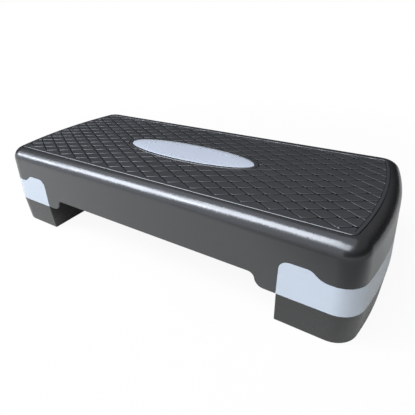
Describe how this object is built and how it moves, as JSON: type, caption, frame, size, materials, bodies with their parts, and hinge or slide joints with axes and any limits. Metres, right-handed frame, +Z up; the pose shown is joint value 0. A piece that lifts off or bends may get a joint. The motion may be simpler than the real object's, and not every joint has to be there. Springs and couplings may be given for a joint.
{
  "type": "aerobic step platform",
  "caption": "Low moulded aerobic step with a diamond-grooved tread, pale leg sockets at both ends and pull-off feet that set an upper and a lower level.",
  "frame": {"origin": "on the floor under the middle of the step, at the bottom of the floor pads", "axes": "+X along the length, to the right as seen from the front, +Y to the back, +Z up"},
  "size_m": [0.69, 0.292, 0.15],
  "materials": {
    "deck_plastic": "satin moulded",
    "tread_rubber": "matt, grooved",
    "oval_plastic": "satin",
    "socket_plastic": "satin moulded",
    "foot_plastic": "satin moulded",
    "pad_rubber": "matt",
    "screw_steel": "zinc plated"
  },
  "bodies": {
    "left_foot": {"left_foot": "foot_plastic", "left_floor_pad_inner_front": "pad_rubber", "left_floor_pad_inner_back": "pad_rubber", "left_floor_pad_outer_front": "pad_rubber", "left_floor_pad_outer_back": "pad_rubber"},
    "platform": {"deck_shell": "deck_plastic", "tread_mat": "tread_rubber", "oval_plate": "oval_plastic", "left_leg_socket": "socket_plastic", "right_leg_socket": "socket_plastic", "left_leg_screws": "screw_steel", "right_leg_screws": "screw_steel", "left_level_pad_inner_front": "pad_rubber", "left_level_pad_inner_back": "pad_rubber", "left_level_pad_outer_front": "pad_rubber", "left_level_pad_outer_back": "pad_rubber", "right_level_pad_inner_front": "pad_rubber", "right_level_pad_inner_back": "pad_rubber", "right_level_pad_outer_front": "pad_rubber", "right_level_pad_outer_back": "pad_rubber"},
    "right_foot": {"right_foot": "foot_plastic", "right_floor_pad_inner_front": "pad_rubber", "right_floor_pad_inner_back": "pad_rubber", "right_floor_pad_outer_front": "pad_rubber", "right_floor_pad_outer_back": "pad_rubber"}
  },
  "joints": [
    {"name": "platform_lift", "type": "slide", "parent": "left_foot", "child": "platform", "axis": [0, 0, 1], "range_m": [0, 0.04]},
    {"name": "right_foot_release", "type": "slide", "parent": "platform", "child": "right_foot", "axis": [0, 0, -1], "range_m": [0, 0.04]}
  ],
  "couplings": [
    {"joint": "right_foot_release", "follows": "platform_lift", "ratio": 1}
  ]
}
